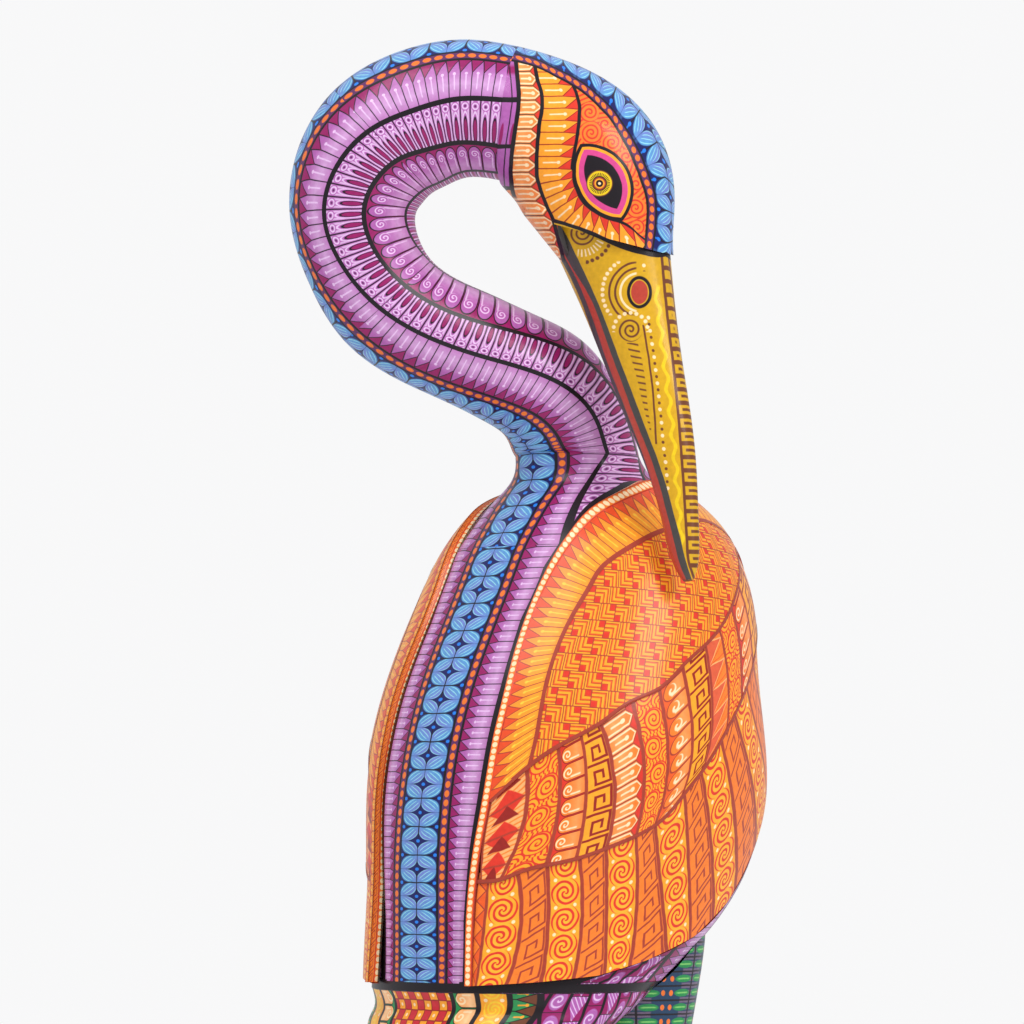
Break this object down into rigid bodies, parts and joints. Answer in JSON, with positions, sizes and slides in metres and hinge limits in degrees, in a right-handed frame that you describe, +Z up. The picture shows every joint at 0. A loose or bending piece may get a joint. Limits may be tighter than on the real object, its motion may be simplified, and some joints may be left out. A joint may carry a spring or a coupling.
{
  "type": "alebrije figure",
  "caption": "Painted wooden wading bird, upright with folded wings, its neck looped back and its long bill resting beside one shoulder, standing on a round plinth.",
  "frame": {"origin": "centre of the plinth's underside, on the surface it stands on", "axes": "+Z up, +Y the way the body faces, +X the bird's right, the side its bill hangs on"},
  "size_m": [0.268, 0.268, 0.7964],
  "materials": {
    "painted_back": "satin varnish over acrylic paint, blue flower band between lilac feather strips",
    "painted_wing": "satin varnish over acrylic paint, orange and red feather rows",
    "painted_neck": "satin varnish over acrylic paint, magenta and lilac rows",
    "painted_head": "satin varnish over acrylic paint, orange face with a blue crown",
    "painted_bill": "satin varnish over mustard yellow paint",
    "painted_tail": "satin varnish over acrylic paint, checks and feather columns",
    "painted_leg": "satin varnish over acrylic paint, blue and green rings",
    "painted_foot": "satin varnish over acrylic paint",
    "painted_base": "satin varnish over acrylic paint, dark purple with a painted rim",
    "felt": "wool felt",
    "dowel_wood": "bare birch",
    "pin_steel": "turned steel rod",
    "sleeve_brass": "turned brass tube"
  },
  "bodies": {
    "base": {"base": "painted_base", "base_felt": "felt", "pin_sleeves": "sleeve_brass"},
    "figure": {"leg_pins": "pin_steel", "right_foot": "painted_foot", "left_foot": "painted_foot", "right_shank": "painted_leg", "left_shank": "painted_leg", "right_thigh": "painted_leg", "left_thigh": "painted_leg", "leg_dowels": "dowel_wood", "tail": "painted_tail", "tail_dowels": "dowel_wood", "torso": "painted_back", "right_wing": "painted_wing", "left_wing": "painted_wing", "wing_dowels": "dowel_wood", "neck_lower": "painted_neck", "neck_bend": "painted_neck", "neck_upper": "painted_neck", "neck_dowels": "dowel_wood", "head": "painted_head", "upper_bill": "painted_bill", "lower_bill": "painted_bill", "bill_dowel": "dowel_wood"}
  },
  "joints": [
    {"name": "figure_lift", "type": "slide", "parent": "base", "child": "figure", "axis": [0, 0, 1], "range_m": [0, 0.06]}
  ]
}
